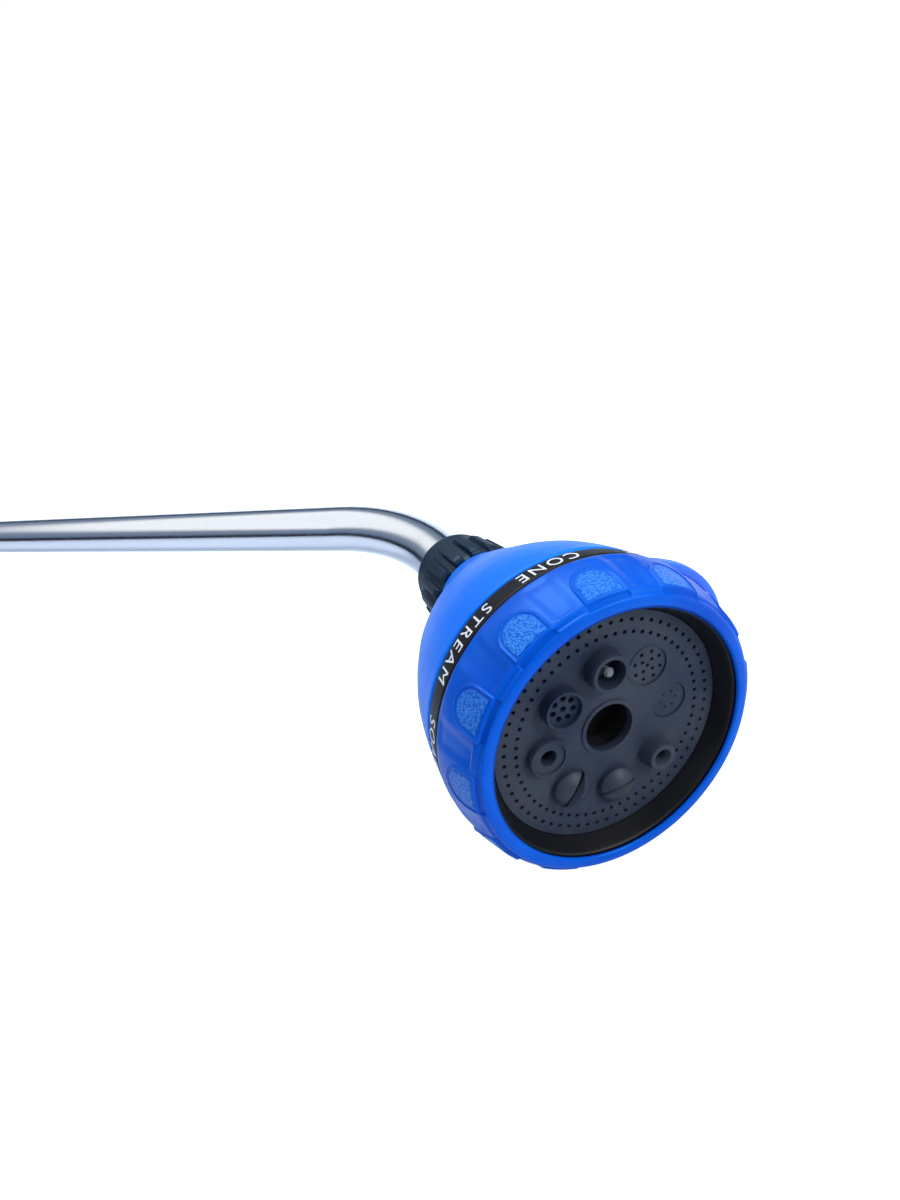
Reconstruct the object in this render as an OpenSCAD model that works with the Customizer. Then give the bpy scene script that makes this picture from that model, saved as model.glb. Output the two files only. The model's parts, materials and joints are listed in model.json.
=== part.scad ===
// Garden watering wand: a dial spray head on a bent aluminium tube, with a thumb valve and hose inlet.
// Millimetres. The hose inlet's open face is the origin, +X runs along the straight tube to the head.
// The bend lies in the XY plane and turns the head towards -Y; +Z is up with the wand on its side.

/* [Tube] */
// outside diameter of the tube
tube_od = 19; // [16:0.5:22]
// wall of the tube
tube_wall = 1.2; // [0.8:0.1:2]
// angle of the bend, degrees
bend = 33.4; // [0:0.1:60]
// radius of the bend on the centre line
bend_r = 112; // [80:1:150]
// where the bend starts, from the inlet face
bend_x = 650; // [300:1:900]

/* [Dial] */
// number of spray settings round the dial
settings = 9; // [4:1:12]
// number of raised finger pads round the dial
pads = 12; // [6:1:14]
// radius of the opening in front of the face
face_r = 36; // [25:0.5:45]
// radius of the eight inner outlets' circle
outlet_r = 18.8; // [15:0.1:20]
// small holes in each of the two shower rings
ring_holes = 62; // [30:1:72]
// diameter of a shower hole
shower_d = 1.2; // [0.8:0.1:1.6]

/* [Hose inlet] */
// bore of the female hose thread, 3/4-11.5 NH
hose_bore_d = 27.2; // [27:0.1:28]
// depth of the thread to the washer
hose_depth = 12; // [10:0.5:15]

/* [Shown] */
// which sub-part is drawn

/* [Hidden] */
$fn = 64;
tube_r = tube_od / 2;
step = 360 / settings;
pad_step = 360 / pads;
// the tube's joint with the head sits 4.5 mm off the dial's axis, on the outside of the bend
neck_off = 4.5;
// head frame: origin at the centre of the dial's front rim, spray axis +Z, X to the hang loop
run = 14 + 112;
head_x = bend_x + bend_r * sin(bend) + run * cos(bend) - neck_off * sin(bend);
head_y = -bend_r * (1 - cos(bend)) - run * sin(bend) - neck_off * cos(bend);
// ball valve
ball_x = 42;
ball_r = 9;
stem_r = 4;
// angle the eight outlets are set out from
phase = 54;
jet_at = 299.5;

module in_head() {
    translate([head_x, head_y, 0]) rotate([90, 0, 90 - bend]) children();
}

module in_neck() {
    in_head() translate([neck_off, 0, 0]) children();
}

module in_handle() {
    rotate([90, 0, 90]) children();
}

module ring(r1, r2, z1, z2) {
    translate([0, 0, z1]) difference() {
        cylinder(r = r2, h = z2 - z1);
        translate([0, 0, -1]) cylinder(r = r1, h = z2 - z1 + 2);
    }
}

module torus(r, w, z) {
    translate([0, 0, z]) rotate_extrude() translate([r, 0]) circle(r = w, $fn = 32);
}

// compression coil spring along +Z, built of half turns tilted one way and then the other
module coil(r, w, h, turns) {
    p = (h - 2 * w) / turns;
    tilt = atan(p / 4 / r);
    for (k = [0:2 * turns - 1]) translate([0, 0, w + p / 4 + k * p / 2]) rotate(180 * k) {
        rotate([0, tilt, 0]) rotate_extrude(angle = 180) translate([r / cos(tilt), 0])
            circle(r = w, $fn = 24);
        if (k > 0) translate([r, 0, -p / 4]) sphere(r = w * 1.04, $fn = 24);
    }
}

// ---- hose inlet and valve ----

// swivel nut that takes the garden hose's male end, free to turn on the valve body's tail
module inlet_nut() {
    color([0.06, 0.06, 0.07]) in_handle() difference() {
        union() {
            cylinder(r = 16.2, h = 23);
            cylinder(r = 17.2, h = 3);
            for (k = [0:11]) rotate(30 * k) translate([15.2, -2.2, 3]) cube([2, 4.4, 18]);
        }
        translate([0, 0, -1]) cylinder(r = hose_bore_d / 2, h = hose_depth + 1);
        translate([0, 0, 11.9]) cylinder(r = 13, h = 5.9);
        translate([0, 0, 10]) cylinder(r = 10.08, h = 14);
    }
}

// rubber hose washer
module hose_washer() {
    color([0.05, 0.05, 0.05]) in_handle() ring(8, 12.8, 12.05, 14.9);
}

// moulded valve body: swivel tail, ball chamber, two stem bosses and threaded tube socket
module valve_body() {
    color([0.05, 0.05, 0.06]) in_handle() difference() {
        union() {
            translate([0, 0, 15]) cylinder(r = 12.7, h = 2.5);
            translate([0, 0, 17]) cylinder(r = 10, h = 10);
            translate([0, 0, 23.4]) cylinder(r1 = 12.5, r2 = 16.5, h = 3.6);
            translate([0, 0, 27]) cylinder(r = 16.5, h = 29.6);
            translate([0, 0, 56]) cylinder(r = 12.9, h = 16);
            translate([0, 17.4, ball_x]) rotate([90, 0, 0]) cylinder(r = 8, h = 34.8);
        }
        translate([0, 0, 14]) cylinder(r = 6.5, h = 30);
        translate([0, 0, 33]) cylinder(r = 9.25, h = 27);
        translate([0, 0, 58.2]) cylinder(r = 9.6, h = 14);
        translate([0, 0, 71]) cylinder(r1 = 9.6, r2 = 10.7, h = 1.1);
        translate([0, 20, ball_x]) rotate([90, 0, 0]) cylinder(r = stem_r + 0.06, h = 40);
        translate([0, 14.6, ball_x]) rotate([90, 0, 0]) cylinder(r = 5.35, h = 29.2);
    }
}

// two plastic seats the ball turns between
module ball_seats() {
    color([0.93, 0.93, 0.9]) in_handle() difference() {
        union() {
            ring(6.5, 9.15, 33.05, 37.2);
            ring(6.5, 9.15, 46.8, 50.95);
        }
        translate([0, 0, ball_x]) sphere(r = ball_r + 0.03);
    }
}

// screwed ring that holds the front seat
module seat_ring() {
    color([0.35, 0.35, 0.37]) in_handle() difference() {
        ring(6.5, 9.2, 51, 55);
        for (a = [0, 90]) rotate(a) translate([-10, -1, 53.6]) cube([20, 2, 3]);
    }
}

// ball with one port; the port lies across the flow while the lever is shut
module valve_ball() {
    color([0.75, 0.76, 0.78]) translate([ball_x, 0, 0]) difference() {
        sphere(r = ball_r);
        rotate([90, 0, 0]) translate([0, 0, -12]) cylinder(r = 5.2, h = 24);
        for (s = [-1, 1]) translate([-12, -1.5, s > 0 ? 7 : -12]) cube([24, 3, 5]);
    }
}

// two stems keyed into the ball, one each side
module ball_stems() {
    color([0.7, 0.6, 0.3]) for (s = [-1, 1]) translate([ball_x, 0, 0]) scale([1, 1, s]) {
        difference() {
            union() {
                translate([0, 0, 9.4]) cylinder(r = stem_r, h = 8.6);
                translate([0, 0, 9.4]) cylinder(r = 5.1, h = 2);
                translate([0, 0, 17.9]) cylinder(r = 3.2, h = 4, $fn = 4);
                intersection() {
                    translate([-4, -1.4, 7.3]) cube([8, 2.8, 2.4]);
                    cylinder(r = 4, h = 20);
                }
            }
            ringcut();
            translate([0, 0, 16]) cylinder(r = 1.25, h = 8);
        }
    }
}

module ringcut() {
    ring(3.0, 6.5, 12.2, 13.9);
}

// O-rings in the stems' grooves
module stem_o_rings() {
    color([0.04, 0.04, 0.04]) for (s = [-1, 1])
        translate([ball_x, 0, 0]) torus(3.95, 0.8, s * 13.05);
}

// thumb lever: two arms on the stems, joined by a curved thumb pad; shut at rest
module thumb_lever() {
    color([0.05, 0.35, 0.85]) translate([ball_x, 0, 0]) rotate([0, 0, 45]) difference() {
        union() {
            for (s = [-1, 1]) {
                translate([0, 0, s > 0 ? 18 : -21.6]) cylinder(r = 7.6, h = 3.6);
                translate([-4.5, 0, s > 0 ? 18 : -21.6]) cube([9, 32, 3.6]);
            }
            intersection() {
                translate([0, 0, -21.6]) cylinder(r = 35.2, h = 43.2);
                translate([-5.8, 31, -21.6]) cube([11.6, 6, 43.2]);
            }
            for (k = [-2:2]) translate([2.2 * k, 34.6, -15]) cylinder(r = 0.7, h = 30, $fn = 24);
        }
        for (s = [-1, 1]) translate([0, 0, s > 0 ? 17 : -23]) rotate(-45)
            cylinder(r = 3.3, h = 6, $fn = 4);
    }
}

// screws that hold the lever on its stems
module lever_screws() {
    color([0.7, 0.71, 0.73]) for (s = [-1, 1]) translate([ball_x, 0, 0]) scale([1, 1, s])
        difference() {
            union() {
                translate([0, 0, 21.95]) cylinder(r = 3.9, h = 1.2);
                translate([0, 0, 23.1]) cylinder(r1 = 3.9, r2 = 2.6, h = 0.9);
                translate([0, 0, 16.4]) cylinder(r = 1.2, h = 6);
            }
            for (a = [0, 90]) rotate(a) translate([-2, -0.4, 22.9]) cube([4, 0.8, 2]);
        }
}

// O-ring that seals the tube in the valve body
module tail_o_ring() {
    color([0.04, 0.04, 0.04]) in_handle() torus(tube_r + 1.62, 1.6, 73.7);
}

// split collar that grips the tube behind the valve nut
module tail_ferrule() {
    color([0.85, 0.85, 0.82]) in_handle() difference() {
        translate([0, 0, 75.4]) cylinder(r1 = 12.6, r2 = 11.4, h = 4.8);
        translate([0, 0, 75]) cylinder(r = tube_r + 0.02, h = 6);
        translate([9, -0.8, 75]) cube([6, 1.6, 6]);
    }
}

// compression nut on the valve body's socket
module valve_nut() {
    color([0.06, 0.06, 0.07]) in_handle() difference() {
        union() {
            translate([0, 0, 57]) cylinder(r = 15.9, h = 25);
            translate([0, 0, 82]) cylinder(r1 = 15.9, r2 = 13, h = 4);
            for (k = [0:11]) rotate(30 * k) translate([14.6, -2, 60]) cube([2, 4, 20]);
        }
        translate([0, 0, 56]) cylinder(r = 13, h = 24.4);
        translate([0, 0, 80.3]) cylinder(r1 = 13, r2 = 11.8, h = 1);
        translate([0, 0, 80]) cylinder(r = tube_r + 0.3, h = 8);
    }
}

// ---- tube and grip ----

// one aluminium tube, straight from the valve to the bend and on into the head
module wand_tube() {
    bore = tube_r - tube_wall;
    color([0.8, 0.81, 0.83]) {
        translate([58.4, 0, 0]) rotate([0, 90, 0]) ring(bore, tube_r, 0, bend_x - 58.42);
        translate([bend_x, -bend_r, 0]) rotate([0, 0, 90 - bend]) difference() {
            rotate_extrude(angle = bend) translate([bend_r, 0]) circle(r = tube_r);
            rotate_extrude(angle = bend) translate([bend_r, 0]) circle(r = bore);
        }
        in_neck() ring(bore, tube_r, -125.98, -90.3);
        // hidden inside the wall, two short rings make the straight runs and the bend one piece
        translate([bend_x, 0, 0]) rotate([0, 90, 0]) ring(bore + 0.2, tube_r - 0.2, -1, 1);
        in_neck() ring(bore + 0.2, tube_r - 0.2, -127, -125);
    }
}

// foam sleeve pushed over the tube
module foam_grip() {
    color([0.07, 0.07, 0.08]) in_handle() rotate_extrude() polygon([[tube_r + 0.05, 92],
        [14.5, 92], [16.4, 94.5], [17, 99], [17, 243], [16.4, 247.5], [14.5, 250],
        [tube_r + 0.05, 250]]);
}

// plastic ring that finishes the front of the grip
module grip_collar() {
    color([0.1, 0.4, 0.9]) in_handle() rotate_extrude() polygon([[tube_r + 0.04, 250.3],
        [14.8, 250.3], [15.2, 252], [14.6, 256], [11.4, 262], [tube_r + 0.04, 262]]);
}

// ---- head, fixed side ----

// fluted compression nut at the head
module head_nut() {
    color([0.06, 0.07, 0.09]) in_neck() difference() {
        union() {
            rotate_extrude() polygon([[0, -112], [12.6, -112], [13.9, -111.2], [14.4, -109.8],
                [14.6, -107], [15.7, -98], [15.9, -87.2], [0, -87.2]]);
            for (k = [0:15]) rotate(22.5 * k + 8) intersection() {
                translate([13, -1.8, -103.4]) cube([5, 3.6, 15.2]);
                translate([0, 0, -107.2]) cylinder(r1 = 16.4, r2 = 17.8, h = 19);
            }
        }
        translate([0, 0, -108.2]) cylinder(r = 13, h = 21.1);
        translate([0, 0, -113]) cylinder(r = tube_r + 0.3, h = 6);
    }
}

// split collar that grips the tube in the head nut
module head_ferrule() {
    color([0.85, 0.85, 0.82]) in_neck() difference() {
        translate([0, 0, -108]) cylinder(r1 = 11.4, r2 = 12.6, h = 4.6);
        translate([0, 0, -109]) cylinder(r = tube_r + 0.02, h = 7);
        translate([9, -0.8, -109]) cube([6, 1.6, 7]);
    }
}

// O-ring that seals the tube in the head
module head_o_ring() {
    color([0.04, 0.04, 0.04]) in_neck() torus(tube_r + 1.62, 1.6, -101.7);
}

// inner moulding: threaded neck, water channel, bulkhead, hub and pockets
module flow_core() {
    color([0.12, 0.12, 0.13]) in_head() difference() {
        union() {
            translate([neck_off, 0, -100]) cylinder(r = 12.9, h = 22);
            translate([neck_off, 0, -78.1]) cylinder(r1 = 12.9, r2 = 9.5, h = 8);
            hull() {
                translate([neck_off, 0, -74]) cylinder(r = 9.5, h = 2, $fn = 32);
                translate([20.6, 0, -44]) cylinder(r = 9, h = 2, $fn = 32);
            }
            translate([20.6, 0, -44]) cylinder(r = 9, h = 14);
            translate([0, 0, -32.4]) cylinder(r = 36.6, h = 4.4);
            translate([0, 0, -48]) cylinder(r = 6.5, h = 22.5);
            translate([0, 0, -28.1]) cylinder(r = 8, h = 2.6);
            translate([-31, 0, -39]) cylinder(r = 4.6, h = 8);
            translate([22, 0, -28.1]) cylinder(r = 8, h = 1);
        }
        translate([neck_off, 0, -101]) cylinder(r = 9.6, h = 11);
        translate([neck_off, 0, -101]) cylinder(r1 = 10.8, r2 = 9.6, h = 1.2);
        translate([neck_off, 0, -91]) cylinder(r = 7, h = 17.2);
        hull() {
            translate([neck_off, 0, -75]) cylinder(r = 6.6, h = 2, $fn = 32);
            translate([21.2, 0, -44]) cylinder(r = 4.4, h = 2, $fn = 32);
        }
        translate([22, 0, -43]) cylinder(r = 3.8, h = 6);
        translate([22, 0, -38]) cylinder(r = 6.1, h = 12);
        translate([-31, 0, -37.4]) cylinder(r = 2.56, h = 12);
        translate([0, 0, -46]) cylinder(r = 1.55, h = 22);
        for (a = [60, 180 + 30, 300]) rotate(a) translate([32.8, 0, -34]) {
            cylinder(r = 1.9, h = 8);
            translate([0, 0, 3.6]) cylinder(r = 3.4, h = 4);
        }
    }
}

// outer shell of the head, with the hang loop on the outside of the bend
module rear_housing() {
    color([0.24, 0.6, 1]) in_head() difference() {
        union() {
            rotate_extrude() polygon([[0, -26.4], [41.6, -26.4], [41.9, -26.9], [41.35, -30],
                [40.6, -34], [39.6, -38], [38.5, -42], [37, -46], [35.4, -50], [33.5, -54],
                [31.6, -58], [29.5, -62], [27.4, -66], [25, -70], [22.4, -74], [19.6, -78],
                [17.6, -81], [16.4, -84], [0, -84]]);
            translate([neck_off, 0, 0]) rotate_extrude() polygon([[0, -70], [21.2, -70],
                [19, -75], [17.6, -80], [16.9, -84], [16.6, -86.2], [16.1, -86.7], [0, -86.7]]);
            rotate(-16.2) difference() {
                union() {
                    translate([25.2, 0, -32.0]) cylinder(r = 29.4, h = 3.6);
                    translate([25.2, 0, -32.4]) cylinder(r = 29, h = 4.4);
                }
                translate([25.2, 0, -34]) cylinder(r = 26.4, h = 8);
            }
        }
        // hollow shell
        difference() {
            union() {
                rotate_extrude() polygon([[0, -25], [39.4, -25], [39, -30], [38.2, -33],
                    [37, -36.6], [35, -42], [33.2, -48], [30.6, -54], [27.2, -61], [23.4, -68],
                    [19.5, -74], [0, -78]]);
                translate([neck_off, 0, -84]) cylinder(r = 13.4, h = 14);
            }
            difference() {
                for (a = [60, 180 + 30, 300]) rotate(a) translate([32.8, 0, -64])
                    cylinder(r = 3.6, h = 31.4);
            }
        }
        for (a = [60, 180 + 30, 300]) rotate(a) translate([32.8, 0, -44]) cylinder(r = 1.3, h = 14);
        translate([neck_off, 0, -90]) cylinder(r = 13.2, h = 20);
    }
}

// three screws that hold the core in the housing
module core_screws() {
    color([0.7, 0.71, 0.73]) in_head() for (a = [60, 180 + 30, 300]) rotate(a)
        translate([32.8, 0, 0]) difference() {
            union() {
                translate([0, 0, -42]) cylinder(r = 1.25, h = 12);
                translate([0, 0, -30.35]) cylinder(r = 3, h = 2);
            }
            for (b = [0, 90]) rotate(b) translate([-1.8, -0.4, -29.2]) cube([3.6, 0.8, 2]);
        }
}

// round-nosed pin that clicks into the dial's dimples
module detent_pin() {
    color([0.75, 0.76, 0.78]) in_head() translate([-31, 0, 0]) {
        translate([0, 0, -32]) cylinder(r = 2.5, h = 4.2);
        intersection() {
            translate([0, 0, -27.75]) sphere(r = 2.5);
            translate([0, 0, -28]) cylinder(r = 2.5, h = 4);
        }
    }
}

// spring behind the detent pin
module detent_spring() {
    color([0.6, 0.6, 0.62]) in_head() translate([-31, 0, -37.3]) coil(1.9, 0.3, 5.2, 5);
}

// rubber cup pressed on the dial's back by its spring; water crosses to the dial through it
module outlet_seal() {
    color([0.05, 0.05, 0.05]) in_head() translate([22, 0, 0]) difference() {
        union() {
            translate([0, 0, -32]) cylinder(r = 6, h = 5.8);
            translate([0, 0, -26.3]) cylinder(r1 = 6, r2 = 5, h = 1.05);
        }
        translate([0, 0, -34]) cylinder(r = 3, h = 10);
        translate([0, 0, -33]) cylinder(r = 4.6, h = 3);
    }
}

// spring behind the outlet seal
module seal_spring() {
    color([0.6, 0.6, 0.62]) in_head() translate([22, 0, -37.9]) coil(5.3, 0.45, 5.8, 3);
}

// ---- head, turning side ----

// back of the dial: nine inlet ports, nine click dimples, walls of the nine chambers
module distributor() {
    color([0.1, 0.1, 0.11]) in_head() difference() {
        union() {
            rotate_extrude() polygon([[0, -25.2], [33.1, -25.2], [33.1, -8.6], [32, -8.6],
                [32, -22.7], [26.2, -22.7], [26.2, -8.6], [25, -8.6], [25, -22.7], [9.6, -22.7],
                [9.6, -8.6], [8, -8.6], [8, -17.6], [0, -17.6]]);
            for (a = [15, 58, 100, 142, 184, 227, 269.5, 289.5, 332.5]) rotate(a)
                translate([9.2, -0.6, -23]) cube([16.3, 1.2, 14.1]);
        }
        translate([0, 0, -26]) cylinder(r = 4.06, h = 10);
        for (k = [0:settings - 1]) rotate(step * k) {
            translate([22, 0, -26]) cylinder(r = 2.6, h = 6);
            rotate(180) translate([31, 0, -27.2]) sphere(r = 2.6, $fn = 48);
        }
        rotate(280) translate([24, -2.4, -20]) cube([3.4, 4.8, 6]);
    }
}

// face with the eight inner outlets and two rings of shower holes
module spray_plate() {
    color([0.17, 0.19, 0.24]) in_head() difference() {
        union() {
            translate([0, 0, -8.5]) cylinder(r = 33.1, h = 2.2);
            ring(7, 8.1, -8.5, -5.9);
            // cone, jet, stream and soak outlets stand out of the face
            rotate(phase + 22.5) translate([outlet_r, 0, -7]) {
                cylinder(r = 5.5, h = 4.5);
                cylinder(r = 5.2, h = 5);
            }
            rotate(jet_at) translate([outlet_r, 0, -7]) cylinder(r1 = 5, r2 = 3.8, h = 5.2);
            rotate(phase + 67.5) translate([outlet_r, 0, -7]) cylinder(r1 = 5.6, r2 = 5.3, h = 4.1);
            rotate(phase + 112.5) translate([outlet_r, 0, -7]) {
                cylinder(r = 5.5, h = 2.3);
                cylinder(r = 5.2, h = 2.7);
            }
            rotate(phase - 22.5) translate([outlet_r, 0, -7]) cylinder(r = 6.1, h = 0.9);
            // two fan outlets with domed tops
            for (a = [-157.5, 157.5]) rotate(phase + a) translate([outlet_r, 0, -7]) intersection() {
                cylinder(r = 5.4, h = 5.2);
                translate([0, 0, -2]) sphere(r = 6.8);
            }
        }
        translate([0, 0, -10]) cylinder(r = 7, h = 5);
        for (k = [0:ring_holes - 1]) {
            rotate(360 / ring_holes * (k + 0.5)) translate([27.1, 0, -9])
                cylinder(r = shower_d / 2, h = 4, $fn = 14);
            rotate(360 / ring_holes * k) translate([30.5, 0, -9])
                cylinder(r = shower_d / 2, h = 4, $fn = 14);
        }
        // cone: open bore, the pin stands in its middle
        rotate(phase + 22.5) translate([outlet_r, 0, -9]) cylinder(r = 4.1, h = 9);
        // soft shower: thirteen holes in a sunk disc
        rotate(phase - 22.5) translate([outlet_r, 0, -9]) {
            translate([0, 0, 2.4]) cylinder(r = 5.6, h = 2);
            cylinder(r = 0.55, h = 5, $fn = 14);
            for (k = [0:3]) rotate(90 * k) translate([2, 0, 0]) cylinder(r = 0.55, h = 5, $fn = 14);
            for (k = [0:7]) rotate(45 * k + 22) translate([4, 0, 0])
                cylinder(r = 0.55, h = 5, $fn = 14);
        }
        // mist: pocket for the insert
        rotate(phase - 67.5) translate([outlet_r, 0, -9]) {
            cylinder(r = 3.6, h = 4);
            translate([0, 0, 1.3]) cylinder(r = 5.25, h = 4);
        }
        // jet
        rotate(jet_at) translate([outlet_r, 0, -9]) {
            cylinder(r = 1.9, h = 8);
            translate([0, 0, 5.6]) cylinder(r1 = 1.9, r2 = 2.6, h = 1.65);
        }
        // fans: a V across the dome with a slot at its bottom
        rotate(phase - 157.5) translate([outlet_r, 0, -9]) {
            cylinder(r = 2.6, h = 3.2);
            rotate(3.5) fan_cut();
        }
        rotate(phase + 157.5) translate([outlet_r, 0, -9]) {
            cylinder(r = 2.6, h = 3.2);
            rotate(93.5) fan_cut();
        }
        // soak: one wide hole in a shallow dish
        rotate(phase + 112.5) translate([outlet_r, 0, -9]) {
            translate([0, 0, 4.2]) cylinder(r = 4.7, h = 2);
            cylinder(r = 2.3, h = 5);
        }
        // stream: eight holes in a sunk floor
        rotate(phase + 67.5) translate([outlet_r, 0, -9]) {
            translate([0, 0, 4.8]) cylinder(r = 4.7, h = 2);
            cylinder(r = 0.85, h = 6, $fn = 14);
            for (k = [0:6]) rotate(360 / 7 * k) translate([2.95, 0, 0])
                cylinder(r = 0.85, h = 6, $fn = 14);
        }
    }
}

module fan_cut() {
    translate([-0.6, -6, 3]) cube([1.2, 12, 3]);
    translate([0, 6, 0]) rotate([90, 0, 0]) linear_extrude(12)
        polygon([[0, 3.9], [2.4, 8], [-2.4, 8]]);
}

// fine-mesh mist disc set in the face
module mist_insert() {
    color([0.16, 0.18, 0.22]) in_head() rotate(phase - 67.5) translate([outlet_r, 0, 0])
        difference() {
            translate([0, 0, -7.65]) cylinder(r = 5.1, h = 0.95);
            for (k = [0:5]) rotate(60 * k) translate([2.4, 0, -9]) cylinder(r = 0.3, h = 4, $fn = 14);
        }
}

// pin in the middle of the cone outlet, on three legs
module cone_pin() {
    color([0.55, 0.57, 0.6]) in_head() rotate(phase + 22.5) translate([outlet_r, 0, 0]) {
        translate([0, 0, -10.2]) cylinder(r = 1.1, h = 6.9);
        translate([0, 0, -3.4]) cylinder(r1 = 1.4, r2 = 0.9, h = 0.7);
        difference() {
            translate([0, 0, -10.2]) cylinder(r = 4.6, h = 1.6);
            for (k = [0:2]) rotate(120 * k) translate([2.9, 0, -11]) cylinder(r = 1.1, h = 4);
        }
    }
}

// black dial body: sloped label band behind, recess wall in front
module dial_shell() {
    color([0.03, 0.03, 0.035]) in_head() rotate_extrude() polygon([[33.2, -26.05], [34.8, -26.05],
        [34.8, -17.5], [38.6, -17.5], [39.6, -26.05], [41.7, -26.05], [42.2, -25.5],
        [43.2, -18.9], [40.2, -18.6], [39, -4.2], [37.2, -1.5], [36.3, -0.9], [35.7, -1],
        [33.4, -6.2], [33.2, -6.4]]);
}

// soft blue ring over the dial: twelve raised pads, a pocket before each, a groove behind the lip
module dial_grip() {
    color([0.02, 0.33, 0.85]) in_head() difference() {
        union() {
            rotate_extrude() polygon([[37, -18.5], [43.4, -18.5], [43.6, -17.6], [43.5, -14.6],
                [43.1, -11.5], [42.5, -8], [41.8, -5], [40.9, -2.4], [40.1, -0.9], [39.1, -0.15],
                [38.2, 0], [36.6, 0], [36.1, -0.3], [36, -0.5], [36, -2]]);
            intersection() {
                rotate_extrude() polygon([[40, -14], [44, -14], [43.6, -11.5], [43, -8],
                    [42.3, -5], [41.4, -2.3], [41.1, -1.9], [40, -1.9]]);
                union() for (k = [0:pads - 1]) rotate(pad_step * k + 15) {
                    translate([38, -6.2, -7]) cube([10, 12.4, 8]);
                    translate([38, 0, -6.9]) rotate([0, 90, 0]) cylinder(r = 6.2, h = 10);
                }
            }
        }
        rotate_extrude() polygon([[0, -20], [40.3, -20], [40.3, -18.55], [39.1, -4.15],
            [37.3, -1.42], [36.35, -0.8], [36, -0.85], [0, -0.85]]);
        rotate_extrude() translate([40.45, -0.9]) circle(r = 0.5, $fn = 32);
        for (k = [0:pads - 1]) rotate(pad_step * k + 15) translate([40.1, 0, -1.15])
            rotate([0, -43, 0]) translate([-0.65, -6.1, -0.95]) cube([3, 12.2, 1.9]);
    }
}

// shoulder screw the dial turns on, sunk in the middle of the face
module dial_screw() {
    color([0.6, 0.61, 0.63]) in_head() difference() {
        union() {
            translate([0, 0, -25.45]) cylinder(r = 4, h = 8.5);
            translate([0, 0, -44]) cylinder(r = 1.5, h = 19);
            translate([0, 0, -17]) cylinder(r = 6.3, h = 2.4);
        }
        translate([0, 0, -16]) cylinder(r = 2.3, h = 3, $fn = 6);
    }
}

// washer under the screw's head
module dial_washer() {
    color([0.8, 0.8, 0.78]) in_head() ring(4.1, 7, -17.55, -17.05);
}

inlet_nut();
hose_washer();
valve_body();
ball_seats();
seat_ring();
valve_ball();
ball_stems();
stem_o_rings();
thumb_lever();
lever_screws();
tail_o_ring();
tail_ferrule();
valve_nut();
wand_tube();
foam_grip();
grip_collar();
head_nut();
head_ferrule();
head_o_ring();
flow_core();
rear_housing();
core_screws();
detent_pin();
detent_spring();
outlet_seal();
seal_spring();
distributor();
spray_plate();
mist_insert();
cone_pin();
dial_shell();
dial_grip();
dial_screw();
dial_washer();
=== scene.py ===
import json
import math

import bmesh
import bpy
import numpy as np
from mathutils import Matrix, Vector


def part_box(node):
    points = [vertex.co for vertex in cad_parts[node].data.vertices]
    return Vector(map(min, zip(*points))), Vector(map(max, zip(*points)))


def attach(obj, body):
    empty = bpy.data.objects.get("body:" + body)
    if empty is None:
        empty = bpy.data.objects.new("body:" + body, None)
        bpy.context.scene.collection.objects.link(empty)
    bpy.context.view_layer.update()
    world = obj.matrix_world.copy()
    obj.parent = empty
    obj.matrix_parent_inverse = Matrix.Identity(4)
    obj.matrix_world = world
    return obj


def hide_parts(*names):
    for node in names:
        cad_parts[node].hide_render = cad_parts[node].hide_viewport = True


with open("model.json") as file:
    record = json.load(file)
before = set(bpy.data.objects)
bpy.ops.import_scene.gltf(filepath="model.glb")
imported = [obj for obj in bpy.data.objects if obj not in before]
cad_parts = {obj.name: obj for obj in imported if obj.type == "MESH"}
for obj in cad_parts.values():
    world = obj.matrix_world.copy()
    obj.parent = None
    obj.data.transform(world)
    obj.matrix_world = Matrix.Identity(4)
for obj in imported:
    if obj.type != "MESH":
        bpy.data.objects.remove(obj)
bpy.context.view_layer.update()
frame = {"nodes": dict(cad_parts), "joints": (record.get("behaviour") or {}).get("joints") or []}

# ---------------------------------------------------------------------------
# The wand on its table. It lies on its side: the grip ring touches the table at
# one end and the valve's lever screw at the other. The dial's own joint gives the
# head's frame: the middle of the front rim, the way the water leaves, the loop side.
dial_turn = next(j for j in frame["joints"] if j["name"] == "dial_turn")
rim_centre = np.array(dial_turn["pos_m"])
spray_way = np.array(dial_turn["axis"]) / np.linalg.norm(dial_turn["axis"])
loop_way = np.array([-spray_way[1], spray_way[0], 0.0])
side_way = np.array([0.0, 0.0, 1.0])


def in_head(p):
    """Head millimetres to row metres: x along the loop side, y sideways, z out with the water."""
    offset = p[..., 0:1] * loop_way + p[..., 1:2] * side_way + p[..., 2:3] * spray_way
    return rim_centre + offset / 1000


camera_data = bpy.data.cameras.new("camera")
camera_data.lens = 27
camera_data.sensor_width = 36
camera_data.clip_start = 0.01
camera = bpy.data.objects.new("camera", camera_data)
bpy.context.collection.objects.link(camera)
camera_right = (0.80158, 0.46612, -0.37444)
camera_up = (-0.03037, 0.65719, 0.75311)
camera_back = (0.59712, -0.59231, 0.54095)
camera_pose = Matrix((camera_right, camera_up, camera_back)).transposed().to_4x4()
camera_pose.translation = (rim_centre + (0.09969, -0.13175, 0.16575)).tolist()
camera.matrix_world = camera_pose
bpy.context.scene.camera = camera
bpy.context.scene.view_settings.view_transform = "Standard"

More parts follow.
